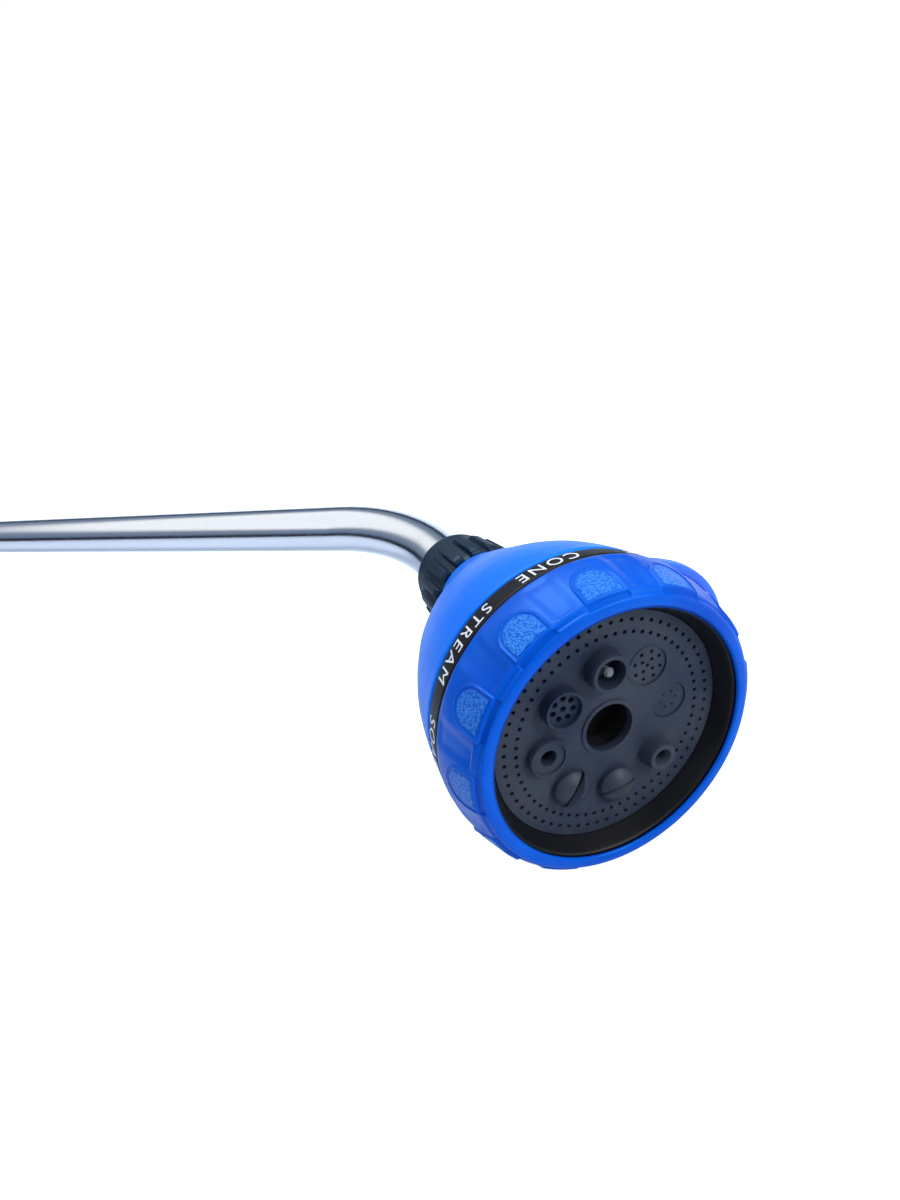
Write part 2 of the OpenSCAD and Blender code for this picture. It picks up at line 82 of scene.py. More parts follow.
# White table top, tilted by the little the lying wand needs to touch it at both ends.
ring_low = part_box("dial_grip")[0][2]
tail_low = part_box("lever_screws")[0][2]
tail_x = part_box("lever_screws")[0][0]
slope = (ring_low - tail_low) / (rim_centre[0] - tail_x)
span = 60.0
table_gap = 0.0005
table_mesh = bpy.data.meshes.new("table_top")
corners = [(x, y, ring_low + slope * (x - rim_centre[0]) - table_gap)
           for x, y in ((-span, -span), (span, -span), (span, span), (-span, span))]
table_mesh.from_pydata(corners, [], [(0, 1, 2, 3)])
table_top = bpy.data.objects.new("table_top", table_mesh)
bpy.context.collection.objects.link(table_top)
table_paint = bpy.data.materials.new("table_paint")
table_paint.use_nodes = True
table_shader = table_paint.node_tree.nodes["Principled BSDF"]
table_shader.inputs["Base Color"].default_value = (0.62, 0.7, 0.82, 1)
table_shader.inputs["Roughness"].default_value = 0.8
table_shader.inputs["Specular IOR Level"].default_value = 0.1
table_shader.inputs["Emission Color"].default_value = (1, 1, 1, 1)
table_path = table_paint.node_tree.nodes.new("ShaderNodeLightPath")
table_glow = table_paint.node_tree.nodes.new("ShaderNodeMath")
table_glow.operation = "MULTIPLY"
table_glow.inputs[1].default_value = 0.8
table_paint.node_tree.links.new(table_path.outputs["Is Camera Ray"], table_glow.inputs[0])
table_paint.node_tree.links.new(table_glow.outputs["Value"], table_shader.inputs["Emission Strength"])
table_mesh.materials.append(table_paint)

# Soft room: a bright strip overhead and a dark band low on the walls, for the metal to reflect.
world = bpy.data.worlds.new("room")
bpy.context.scene.world = world
world.use_nodes = True
room = world.node_tree
room.nodes.clear()
room_out = room.nodes.new("ShaderNodeOutputWorld")
room_light = room.nodes.new("ShaderNodeBackground")
room_light.inputs["Strength"].default_value = 0.5
seen_plain = room.nodes.new("ShaderNodeMix")
seen_plain.data_type = "RGBA"
seen_plain.inputs["B"].default_value = (2, 2, 2, 1)
path = room.nodes.new("ShaderNodeLightPath")
direction = room.nodes.new("ShaderNodeTexCoord")
split = room.nodes.new("ShaderNodeSeparateXYZ")
height = room.nodes.new("ShaderNodeMapRange")
height.inputs["From Min"].default_value = -1
ramp = room.nodes.new("ShaderNodeValToRGB")
stops = ((0.0, (0.75, 0.8, 0.9)), (0.5, (0.5, 0.58, 0.75)),
         (0.52, (0.02, 0.03, 0.05)), (0.58, (0.04, 0.05, 0.08)),
         (0.61, (0.3, 0.42, 0.62)), (0.7, (0.42, 0.52, 0.72)),
         (0.75, (2.2, 2.2, 2.2)), (0.88, (2.0, 2.1, 2.2)),
         (0.93, (0.7, 0.8, 1.0)), (1.0, (0.4, 0.52, 0.8)))
while len(ramp.color_ramp.elements) < len(stops):
    ramp.color_ramp.elements.new(0.5)
for element, (place, colour) in zip(ramp.color_ramp.elements, stops):
    element.position = place
    element.color = (*colour, 1)
room.links.new(direction.outputs["Generated"], split.inputs[0])
room.links.new(split.outputs["Z"], height.inputs["Value"])
room.links.new(height.outputs["Result"], ramp.inputs["Fac"])
room.links.new(ramp.outputs["Color"], seen_plain.inputs["A"])
room.links.new(path.outputs["Is Camera Ray"], seen_plain.inputs["Factor"])
room.links.new(seen_plain.outputs["Result"], room_light.inputs["Color"])
room.links.new(room_light.outputs["Background"], room_out.inputs["Surface"])


def soft_lamp(name, where, size, watts, tint):
    """Square area lamp at a place given from the rim centre, in metres, aimed at the head."""
    lamp_data = bpy.data.lights.new(name, "AREA")
    lamp_data.size = size
    lamp_data.energy = watts
    lamp_data.color = tint
    lamp = bpy.data.objects.new(name, lamp_data)
    bpy.context.collection.objects.link(lamp)
    away = np.array(where, float)
    back = away / np.linalg.norm(away)
    across = np.cross((0.0, 0.3, 1.0), back)
    across /= np.linalg.norm(across)
    pose = Matrix((across, np.cross(back, across), back)).transposed().to_4x4()
    pose.translation = (rim_centre + away).tolist()
    lamp.matrix_world = pose


soft_lamp("key_lamp", (1.05, 0.15, 0.42), 0.35, 9, (1.0, 0.97, 0.93))
soft_lamp("top_lamp", (-0.3, 0.5, 1.2), 0.7, 11, (0.98, 0.99, 1.0))

# ---------------------------------------------------------------------------
# Soft grip ring. Thermoplastic rubber moulded over the dial: a scalloped collar with
# twelve outlined tombstone pads, stippled for wet fingers, a pocket before each pad and a
# groove behind the rounded front lip. It turns with the dial.
pads = 12
pad_step = 2 * math.pi / pads
pad_first = math.radians(15)


def rounded_loop(points, rounds=3):
    """Closed profile with its corners cut: each side keeps its middle half, again and again."""
    p = np.array(points, float)
    for _ in range(rounds):
        q = np.roll(p, -1, axis=0)
        p = np.stack([0.75 * p + 0.25 * q, 0.25 * p + 0.75 * q], axis=1).reshape(-1, 2)
    return p


def even_loop(p, count, fineness=lambda p: 1.0):
    """Closed profile resampled by its running length, closer together where fineness is higher."""
    closed = np.vstack([p, p[:1]])
    weight = fineness((closed[1:] + closed[:-1]) / 2)
    run = np.concatenate([[0], np.cumsum(np.hypot(*np.diff(closed, axis=0).T) * weight)])
    at = np.linspace(0, run[-1], count, endpoint=False)
    return np.stack([np.interp(at, run, closed[:, 0]), np.interp(at, run, closed[:, 1])], axis=1)


def ease(x):
    """Smooth step: 0 below 0, 1 above 1, 3x^2 - 2x^3 between."""
    x = np.clip(x, 0, 1)
    return x * x * (3 - 2 * x)


def skin(name, grid, around=True, marks=None):
    """Mesh from a (rows, columns, 3) grid of row metres; columns join up, and rows too if around."""
    rows, columns = grid.shape[:2]
    index = np.arange(rows * columns).reshape(rows, columns)
    i = np.arange(rows if around else rows - 1)
    j = np.arange(columns)
    a = index[np.ix_(i, j)]
    b = index[np.ix_((i + 1) % rows, j)]
    c = index[np.ix_((i + 1) % rows, (j + 1) % columns)]
    d = index[np.ix_(i, (j + 1) % columns)]
    quads = np.stack([a, b, c, d], axis=-1).reshape(-1, 4)
    at = grid.reshape(-1, 3)
    middle = at.mean(axis=0)
    p = at[quads] - middle
    volume = np.einsum("ij,ij->i", p[:, 0], np.cross(p[:, 1], p[:, 2])) + np.einsum(
        "ij,ij->i", p[:, 0], np.cross(p[:, 2], p[:, 3]))
    if volume.sum() < 0:
        quads = quads[:, ::-1]
    mesh = bpy.data.meshes.new(name)
    mesh.vertices.add(len(at))
    mesh.vertices.foreach_set("co", at.ravel())
    mesh.loops.add(quads.size)
    mesh.loops.foreach_set("vertex_index", quads.ravel())
    mesh.polygons.add(len(quads))
    mesh.polygons.foreach_set("loop_start", np.arange(0, quads.size, 4))
    mesh.update(calc_edges=True)
    mesh.validate()
    mesh.polygons.foreach_set("use_smooth", np.ones(len(quads), dtype=bool))
    for mark, values in (marks or {}).items():
        layer = mesh.attributes.new(mark, "FLOAT", "POINT")
        layer.data.foreach_set("value", np.ascontiguousarray(values, dtype=np.float32).ravel())
    piece = bpy.data.objects.new(name, mesh)
    bpy.context.collection.objects.link(piece)
    return piece


def effect_group(name, inputs, outputs):
    """Empty shader node group with named number or colour sockets: {name: default}, {name: kind}."""
    group = bpy.data.node_groups.new(name, "ShaderNodeTree")
    for label, default in inputs.items():
        kind = "NodeSocketFloat" if isinstance(default, (int, float)) else "NodeSocketColor"
        socket = group.interface.new_socket(name=label, in_out="INPUT", socket_type=kind)
        socket.default_value = default
    for label, kind in outputs.items():
        group.interface.new_socket(name=label, in_out="OUTPUT", socket_type=kind)
    return group, group.nodes.new("NodeGroupInput"), group.nodes.new("NodeGroupOutput")


# Moulded skin: slow colour drift, uneven gloss and a fine pebble, by Object coordinates.
moulded, moulded_in, moulded_out = effect_group(
    "moulded_skin",
    {"Colour": (0.5, 0.5, 0.5, 1), "Deep colour": (0.4, 0.4, 0.4, 1), "Gloss": 0.4, "Gloss drift": 0.1,
     "Pebble per metre": 2500.0},
    {"Colour": "NodeSocketColor", "Roughness": "NodeSocketFloat", "Height": "NodeSocketFloat"})
place = moulded.nodes.new("ShaderNodeTexCoord")
drift = moulded.nodes.new("ShaderNodeTexNoise")
drift.inputs["Scale"].default_value = 38
drift.inputs["Detail"].default_value = 4
pebble = moulded.nodes.new("ShaderNodeTexNoise")
pebble.inputs["Detail"].default_value = 2
tone = moulded.nodes.new("ShaderNodeMix")
tone.data_type = "RGBA"
tone_range = moulded.nodes.new("ShaderNodeMapRange")
tone_range.inputs["From Min"].default_value = 0.35
tone_range.inputs["From Max"].default_value = 0.7
gloss_shift = moulded.nodes.new("ShaderNodeMath")
gloss_shift.operation = "MULTIPLY_ADD"
moulded.links.new(place.outputs["Object"], drift.inputs["Vector"])
moulded.links.new(place.outputs["Object"], pebble.inputs["Vector"])
moulded.links.new(moulded_in.outputs["Pebble per metre"], pebble.inputs["Scale"])
moulded.links.new(drift.outputs["Fac"], tone_range.inputs["Value"])
moulded.links.new(tone_range.outputs["Result"], tone.inputs["Factor"])
moulded.links.new(moulded_in.outputs["Colour"], tone.inputs["A"])
moulded.links.new(moulded_in.outputs["Deep colour"], tone.inputs["B"])
moulded.links.new(drift.outputs["Fac"], gloss_shift.inputs[0])
moulded.links.new(moulded_in.outputs["Gloss drift"], gloss_shift.inputs[1])
moulded.links.new(moulded_in.outputs["Gloss"], gloss_shift.inputs[2])
moulded.links.new(tone.outputs["Result"], moulded_out.inputs["Colour"])
moulded.links.new(gloss_shift.outputs["Value"], moulded_out.inputs["Roughness"])
moulded.links.new(pebble.outputs["Fac"], moulded_out.inputs["Height"])


def moulded_finish(name, colour, deep, gloss=0.35, drift=0.12, pebbles=2500.0, depth=0.00002,
                   shine=(1, 1, 1), gleam=0.5, sheen=0.0):
    """Material of moulded plastic or rubber: the skin group feeds colour, gloss and a fine bump."""
    material = bpy.data.materials.new(name)
    material.use_nodes = True
    tree = material.node_tree
    shader = tree.nodes["Principled BSDF"]
    shader.inputs["Specular Tint"].default_value = (*shine, 1)
    shader.inputs["Specular IOR Level"].default_value = gleam
    shader.inputs["Sheen Weight"].default_value = sheen
    skin_node = tree.nodes.new("ShaderNodeGroup")
    skin_node.name = "skin"
    skin_node.node_tree = moulded
    skin_node.inputs["Colour"].default_value = (*colour, 1)
    skin_node.inputs["Deep colour"].default_value = (*deep, 1)
    skin_node.inputs["Gloss"].default_value = gloss
    skin_node.inputs["Gloss drift"].default_value = drift
    skin_node.inputs["Pebble per metre"].default_value = pebbles
    bump = tree.nodes.new("ShaderNodeBump")
    bump.name = "bump"
    bump.inputs["Distance"].default_value = depth
    bump.inputs["Strength"].default_value = 1
    tree.links.new(skin_node.outputs["Colour"], shader.inputs["Base Color"])
    tree.links.new(skin_node.outputs["Roughness"], shader.inputs["Roughness"])
    tree.links.new(skin_node.outputs["Height"], bump.inputs["Height"])
    tree.links.new(bump.outputs["Normal"], shader.inputs["Normal"])
    return material


# Section of the ring, from its rear edge over the outside to the lip and back along the dial.
grip_line = rounded_loop([
    (40.4, -18.45), (43.1, -18.45), (43.5, -17.9), (43.5, -14.6), (43.1, -11.5), (42.5, -8),
    (41.8, -5), (40.9, -2.4), (40.2, -1.05), (39.35, -0.15), (37.95, 0.0), (36.3, -0.1),
    (35.95, -0.6), (36.5, -0.85), (37.3, -1.4), (39.1, -4.1), (40.3, -16)])


def grip_fineness(p):
    """Most points round the lip and its groove, fewer on the flank, few inside."""
    near_lip = (p[:, 0] > 37) & (p[:, 1] > -3.8) & (p[:, 0] + p[:, 1] > 36)
    flank = p[:, 0] + 0.09 * p[:, 1] > 40.2
    return np.where(near_lip, 3.2, np.where(flank, 1.2, 0.35))


grip_profile = even_loop(grip_line, 96, grip_fineness)
grip_tangent = np.roll(grip_profile, -1, axis=0) - np.roll(grip_profile, 1, axis=0)
grip_tangent /= np.linalg.norm(grip_tangent, axis=1)[:, None]
grip_normal = np.stack([-grip_tangent[:, 1], grip_tangent[:, 0]], axis=1)
if (grip_normal[:, 0] * (grip_profile[:, 0] - 40)).sum() < 0:
    grip_normal = -grip_normal
turn_round = np.linspace(0, 2 * math.pi, 1000, endpoint=False)[:, None]
r = grip_profile[None, :, 0]
z = grip_profile[None, :, 1]
outside = ease((grip_normal[None, :, 0] * 1.4 + grip_normal[None, :, 1] * 0.8) * 1.6) * ease((r - 37.2) / 1.0)
swing = (turn_round - pad_first + pad_step / 2) % pad_step - pad_step / 2
across = swing * r
pad_half, pad_mid, pad_front = 6.2, -6.9, -1.95
tombstone = np.where(z < pad_mid, np.hypot(across, z - pad_mid), np.abs(across)) - pad_half
edge = np.maximum(tombstone, (z - pad_front) * 1.4)
raised = 0.27 * ease(-edge / 0.5) + 0.26 * np.exp(-((edge + 0.5) / 0.34) ** 2) \
    - 0.16 * np.exp(-((edge + 1.15) / 0.3) ** 2)
scallop = -0.6 * ease((np.abs(across) - pad_half) / 3.6) * ease((z + 18.6) / 3) * ease((-2.9 - z) / 0.9)
groove = -0.42 * np.exp(-((z + 1.15) / 0.42) ** 2) * ease((np.abs(across) - pad_half + 0.4) / 0.5)
pocket_edge = np.maximum(np.abs(across) - 6.1, np.maximum(-(z + 1.95), z + 0.42) * 1.4)
pocket = -0.68 * ease(-pocket_edge / 0.3)
lift = (raised + scallop + groove + pocket) * outside
grip_grid = np.stack([(r + lift * grip_normal[None, :, 0]) * np.cos(turn_round),
                      (r + lift * grip_normal[None, :, 0]) * np.sin(turn_round),
                      z + lift * grip_normal[None, :, 1] + 0 * turn_round], axis=-1)
grip_ring = skin("grip_ring", in_head(grip_grid),
                 marks={"pad": ease(-(edge + 1.2) / 0.5) * outside})
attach(grip_ring, "dial")
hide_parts("dial_grip")

grip_rubber = moulded_finish("grip_rubber", (0.0, 0.1, 0.62), (0.0, 0.06, 0.5), gloss=0.27, drift=0.1,
                             pebbles=3000, depth=0.00001, shine=(0.1, 0.5, 1.0), gleam=0.4)
tree = grip_rubber.node_tree
# Pad field: each stipple cell is tinted a lighter blue towards its middle, a painted highlight standing for
# the glints on the stipple. The same cells also give the pads their bump.
pad_mark = tree.nodes.new("ShaderNodeAttribute")
pad_mark.attribute_name = "pad"
stipple_place = tree.nodes.new("ShaderNodeTexCoord")
stipple = tree.nodes.new("ShaderNodeTexVoronoi")
stipple.inputs["Scale"].default_value = 1500
glint_tone = tree.nodes.new("ShaderNodeMapRange")
glint_tone.inputs["From Min"].default_value = 0.15
glint_tone.inputs["From Max"].default_value = 0.75
glint_tone.inputs["To Min"].default_value = 0.75
glint_tone.inputs["To Max"].default_value = 0.1
pad_glint_tint = tree.nodes.new("ShaderNodeMix")
pad_glint_tint.data_type = "RGBA"
pad_glint_tint.inputs["B"].default_value = (0.06, 0.3, 0.8, 1)
glint_mask = tree.nodes.new("ShaderNodeMath")
glint_mask.operation = "MULTIPLY"
pad_bump = tree.nodes.new("ShaderNodeBump")
pad_bump.inputs["Distance"].default_value = 0.00028
stipple_height = tree.nodes.new("ShaderNodeMath")
stipple_height.operation = "MULTIPLY"
tree.links.new(stipple_place.outputs["Object"], stipple.inputs["Vector"])
tree.links.new(stipple.outputs["Distance"], glint_tone.inputs["Value"])
tree.links.new(glint_tone.outputs["Result"], glint_mask.inputs[0])
tree.links.new(pad_mark.outputs["Fac"], glint_mask.inputs[1])
tree.links.new(tree.nodes["skin"].outputs["Colour"], pad_glint_tint.inputs["A"])
tree.links.new(glint_mask.outputs["Value"], pad_glint_tint.inputs["Factor"])
tree.links.new(pad_glint_tint.outputs["Result"], tree.nodes["Principled BSDF"].inputs["Base Color"])
tree.links.new(stipple.outputs["Distance"], stipple_height.inputs[0])
tree.links.new(pad_mark.outputs["Fac"], stipple_height.inputs[1])
tree.links.new(stipple_height.outputs["Value"], pad_bump.inputs["Height"])
tree.links.new(tree.nodes["bump"].outputs["Normal"], pad_bump.inputs["Normal"])
tree.links.new(pad_bump.outputs["Normal"], tree.nodes["Principled BSDF"].inputs["Normal"])
grip_ring.data.materials.append(grip_rubber)

# ---------------------------------------------------------------------------
# Dial body. Black plastic cup under the grip ring: its sloped band behind the ring
# carries the names of the nine settings, and its front edge shows as a thin black
# line inside the blue lip, above the recess wall down to the face.


def lathe(name, points, count, rounds, samples):
    """Closed profile (radius, z) turned round the spray axis, its corners rounded first."""
    p = even_loop(rounded_loop(points, rounds), samples)
    a = np.linspace(0, 2 * math.pi, count, endpoint=False)[:, None]
    r, z = p[None, :, 0], p[None, :, 1]
    return skin(name, in_head(np.stack([r * np.cos(a), r * np.sin(a), z + 0 * a], axis=-1)))


dial_body = lathe("dial_body", [
    (33.2, -26.05), (34.8, -26.05), (34.8, -17.5), (38.6, -17.5), (39.6, -26.05), (41.5, -26.05),
    (42.1, -25.7), (43.15, -19.3), (42.95, -18.85), (40.2, -18.6), (39.0, -4.4), (37.3, -1.75),
    (36.2, -0.95), (35.6, -1.0), (34.6, -3.4), (33.4, -6.2), (33.2, -6.4), (33.2, -16)],
    rounds=2, samples=150, count=300)
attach(dial_body, "dial")
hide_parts("dial_shell")
dial_black = moulded_finish("dial_black", (0.001, 0.0012, 0.003), (0.002, 0.0025, 0.005), gloss=0.4,
                            drift=0.15, pebbles=1800, depth=0.000012, gleam=0.25)
dial_body.data.materials.append(dial_black)

# Names of the settings, pad-printed in white on the band, read with the water going away.
band_rear, band_front = (42.2, -25.5), (43.1, -19.0)
words = ("MIST", "SOFT", "CONE", "STREAM", "SOAK", "FLAT", "ANGLE", "SHOWER", "JET")
label_ink = moulded_finish("label_ink", (0.82, 0.86, 0.92), (0.7, 0.74, 0.8), gloss=0.5, drift=0.1,
                           pebbles=4000)
letter_size = 6.4
letter_narrowing = 0.88
letter_radius = 43
letters_at, letters_faces = [], []
for number, word in enumerate(words):
    text_data = bpy.data.curves.new("word", "FONT")
    text_data.body = word
    text_data.size = letter_size
    text_data.align_x = "CENTER"
    text_data.space_character = 1.25
    text_data.extrude = 0.03
    text_object = bpy.data.objects.new("word", text_data)
    bpy.context.collection.objects.link(text_object)
    bpy.context.view_layer.update()
    flat_mesh = bpy.data.meshes.new_from_object(
        text_object.evaluated_get(bpy.context.evaluated_depsgraph_get()))
    at = np.empty(len(flat_mesh.vertices) * 3)
    flat_mesh.vertices.foreach_get("co", at)
    at = at.reshape(-1, 3)
    up = (at[:, 1] + 1.0) / 6.62
    band_r = band_rear[0] + (band_front[0] - band_rear[0]) * up + 0.05 + at[:, 2]
    band_z = band_rear[1] + (band_front[1] - band_rear[1]) * up
    angle = math.radians(0.5) + number * 2 * math.pi / len(words) \
        + at[:, 0] * letter_narrowing / letter_radius
    base = sum(len(q) for q in letters_at)
    letters_at.append(np.stack([band_r * np.cos(angle), band_r * np.sin(angle), band_z], axis=1))
    letters_faces += [[base + v for v in f.vertices] for f in flat_mesh.polygons]
    bpy.data.objects.remove(text_object)
    bpy.data.curves.remove(text_data)
    bpy.data.meshes.remove(flat_mesh)
letters_mesh = bpy.data.meshes.new("setting_names")
letters_mesh.from_pydata(in_head(np.vstack(letters_at)).tolist(), [], letters_faces)
letters_mesh.validate()
welding = bmesh.new()
welding.from_mesh(letters_mesh)
bmesh.ops.remove_doubles(welding, verts=welding.verts, dist=0.0000005)
bmesh.ops.recalc_face_normals(welding, faces=welding.faces)
welding.to_mesh(letters_mesh)
welding.free()
setting_names = bpy.data.objects.new("setting_names", letters_mesh)
bpy.context.collection.objects.link(setting_names)
letters_mesh.materials.append(label_ink)
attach(setting_names, "dial")

# ---------------------------------------------------------------------------
# Face and its small parts. Dark blue-grey plastic with the outlets moulded in; the
# mist disc and the cone pin are pressed in from behind. The edges are just broken.


def soften(node):
    """A CAD node's loose triangles are welded, then its edges sharper than 30 degrees are rounded."""
    piece = frame["nodes"][node]
    weld = piece.modifiers.new("weld", "WELD")
    weld.merge_threshold = 0.000002
    bevel = piece.modifiers.new("edges", "BEVEL")
    bevel.width = 0.00012
    bevel.segments = 2
    bevel.limit_method = "ANGLE"
    bevel.angle_limit = math.radians(30)
    bevel.harden_normals = False


def coat_node(node, material):
    """A CAD node takes this material in every slot."""
    for material_slot in frame["nodes"][node].material_slots:
        material_slot.material = material


face_grey = moulded_finish("face_grey", (0.034, 0.042, 0.06), (0.008, 0.016, 0.04), gloss=0.42,
                           drift=0.15, pebbles=5000, depth=0.00002, gleam=0.3)
coat_node("spray_plate", face_grey)
coat_node("mist_insert", face_grey)
pin_grey = moulded_finish("pin_grey", (0.14, 0.16, 0.19), (0.1, 0.11, 0.14), gloss=0.35)
coat_node("cone_pin", pin_grey)
for node in ("spray_plate", "thumb_lever", "valve_body", "valve_nut", "inlet_nut"):
    soften(node)
core_black = moulded_finish("core_black", (0.006, 0.006, 0.008), (0.01, 0.01, 0.012), gloss=0.45)
for node in ("distributor", "flow_core", "seat_ring"):
    coat_node(node, core_black)

# ---------------------------------------------------------------------------
# Rear housing. One glossy light blue moulding: the dome, which runs down off centre
# into the neck, and the flat hang loop on the outside of the bend.
dome_line = np.array([
    (41.55, -26.45), (41.95, -27.2), (41.35, -30), (40.6, -34), (39.6, -38), (38.5, -42), (37, -46),
    (35.4, -50),
    (33.5, -54), (31.6, -58), (29.5, -62), (27.4, -66), (25, -70), (22.7, -74), (20.4, -78), (18.5, -81.5),
    (17.3, -84.4), (16.6, -86.2), (15.9, -86.7)])
dome_inside = [(13.4, -86.7), (13.4, -76), (19.5, -73.5), (23.4, -68), (27.2, -61), (30.6, -54), (33.2, -48),
               (35, -42), (37, -36.6), (38.2, -33), (39, -30), (39.4, -26.5)]
dome_profile = even_loop(rounded_loop(np.vstack([dome_line, dome_inside])), 200)
neck_shift = 4.5 * ease((-58 - dome_profile[:, 1]) / 22)
dome_turn = np.linspace(0, 2 * math.pi, 300, endpoint=False)[:, None]
dome_grid = np.stack([neck_shift[None] + dome_profile[None, :, 0] * np.cos(dome_turn),
                      dome_profile[None, :, 0] * np.sin(dome_turn),
                      dome_profile[None, :, 1] + 0 * dome_turn], axis=-1)
dome = skin("dome", in_head(dome_grid))
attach(dome, "wand")
dome_blue = moulded_finish("dome_blue", (0.008, 0.19, 0.92), (0.006, 0.16, 0.85), gloss=0.34,
                           drift=0.08, pebbles=900, depth=0.000008, shine=(0.15, 0.5, 1.0), gleam=0.35)
# The hang loop gets a more violet blue than the dome's own. This is painted shade: on the real thing loop and
# dome are the same moulding, and the loop only looks darker and more violet in shade.
loop_shade_blue = moulded_finish("loop_shade_blue", (0.05, 0.17, 0.95), (0.04, 0.14, 0.85), gloss=0.34,
                           drift=0.08, pebbles=900, depth=0.000008, shine=(0.3, 0.55, 1.0))
dome.data.materials.append(dome_blue)

# Hang loop: a flat-sided ring section swept round an arc whose ends sink into the dome's wall.
loop_turn = math.radians(-16.2)
loop_centre, loop_radius, loop_z = 25.2, 27.9, -30.2
loop_path = np.linspace(-1, 1, 160)[:, None]
loop_angle = loop_path * math.radians(83)
section = np.linspace(0, 2 * math.pi, 40, endpoint=False)[None]
root = ease((np.abs(loop_path) - 0.8) / 0.2)
half_wide = 1.45 + 0.6 * root
half_thick = 2.15 + 0.3 * root
square = 0.55
cosine = np.sign(np.cos(section)) * np.abs(np.cos(section)) ** square
sine = np.sign(np.sin(section)) * np.abs(np.sin(section)) ** square
loop_r = loop_radius + half_wide * cosine
x = loop_centre + loop_r * np.cos(loop_angle)
y = loop_r * np.sin(loop_angle)
loop_grid = np.stack([x * math.cos(loop_turn) - y * math.sin(loop_turn),
                      x * math.sin(loop_turn) + y * math.cos(loop_turn),
                      loop_z + half_thick * sine + 0 * x], axis=-1)
hang_loop = skin("hang_loop", in_head(loop_grid), around=False)
closing = bmesh.new()
closing.from_mesh(hang_loop.data)
bmesh.ops.holes_fill(closing, edges=[e for e in closing.edges if e.is_boundary])
bmesh.ops.recalc_face_normals(closing, faces=closing.faces)
closing.to_mesh(hang_loop.data)
closing.free()
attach(hang_loop, "wand")
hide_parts("rear_housing")
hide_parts("rear_housing")
hang_loop.data.materials.append(loop_shade_blue)

# ---------------------------------------------------------------------------
# Head nut. Black glass-filled plastic compression nut: a plain rounded collar at the
# tube, then sixteen ribs to grip it by. It clamps the tube in the housing's neck.


def ribbed_nut(outside_line, bore, ribs, rib_from, rib_to, rib_half, rib_high, shift, count=720):
    """Grid of a nut; in the ribs' stretch the radius rises by rib_high near each rib's angle."""
    rib_radius = 16
    outside_line = np.array(outside_line, float)
    loop = np.vstack([outside_line, [(bore, outside_line[-1, 1]), (bore, outside_line[0, 1])]])
    p = even_loop(rounded_loop(loop, 2), 120)
    a = np.linspace(0, 2 * math.pi, count, endpoint=False)[:, None]
    r, z = p[None, :, 0], p[None, :, 1]
    step = 2 * math.pi / ribs
    off = np.abs((a - math.radians(8) + step / 2) % step - step / 2) * rib_radius
    rise = (rib_high + 0.045 * (z - rib_from)) * ease((rib_half - off) / 0.8)
    rise = rise * ease((z - rib_from) / 1.1) * ease((rib_to - z) / 0.6)
    rise = rise * ease((r - bore - 3.0) / 1.5)
    return np.stack([shift + (r + rise) * np.cos(a), (r + rise) * np.sin(a), z + 0 * a], axis=-1)


nut_grid = ribbed_nut([(12.4, -112), (13.8, -111.3), (14.5, -109.8), (14.6, -107), (15.0, -103),
                       (15.4, -95), (15.6, -87.3)], bore=10.0, ribs=16, rib_from=-103.6, rib_to=-87.2,
                      rib_half=2.1, rib_high=1.45, shift=4.5)
nut_cover = skin("nut_cover", in_head(nut_grid))
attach(nut_cover, "wand")
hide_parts("head_nut")
nut_black = moulded_finish("nut_black", (0.001, 0.006, 0.018), (0.002, 0.012, 0.028), gloss=0.36,
                           drift=0.15, pebbles=1500, depth=0.00002, shine=(0.4, 0.7, 1.0))
nut_cover.data.materials.append(nut_black)

# ---------------------------------------------------------------------------
# Tube. One length of 19 mm aluminium, drawn, bent once near the head and polished, so
# faint draw lines run along it. Its path is the CAD tube's: straight, one bend, straight.
tube_r, tube_bore = 9.5, 8.3
bend_angle = math.acos(spray_way[0])
bend_r = 112.0
bend_x = 650.0
tube_start = 58.6
neck_run = 35.6
lead = np.linspace(tube_start, bend_x, 120)
straight = np.stack([lead, 0 * lead, 0 * lead], axis=1)
u = np.linspace(0, bend_angle, 90)[1:]
curve = np.stack([bend_x + bend_r * np.sin(u), -bend_r * (1 - np.cos(u)), 0 * u], axis=1)
v = np.linspace(0, neck_run, 20)[1:]
nose = curve[-1] + v[:, None] * spray_way
centre_line = np.vstack([straight, curve, nose])
heading = np.vstack([np.tile([1.0, 0, 0], (len(straight), 1)),
                     np.stack([np.cos(u), -np.sin(u), 0 * u], axis=1), np.tile(spray_way, (len(nose), 1))])
beside = np.stack([-heading[:, 1], heading[:, 0], heading[:, 2]], axis=1)
ring_angle = np.linspace(0, 2 * math.pi, 128, endpoint=False)
wheel = (np.cos(ring_angle)[None, :, None] * beside[:, None] + np.sin(ring_angle)[None, :, None] * side_way)
outer = centre_line[:, None] + tube_r * wheel
inner = (centre_line[:, None] + tube_bore * wheel)[::-1]
tube_grid = np.concatenate([outer, inner]) / 1000
run = np.concatenate([[0], np.cumsum(np.linalg.norm(np.diff(centre_line, axis=0), axis=1))])
along_mark = np.concatenate([run, run[::-1]])[:, None] + 0 * ring_angle[None]
round_mark = 0 * along_mark + ring_angle[None]
tube_marks = {"along": along_mark, "round_x": np.cos(round_mark), "round_y": np.sin(round_mark)}
tube = skin("tube", tube_grid, marks=tube_marks)
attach(tube, "wand")
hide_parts("wand_tube")

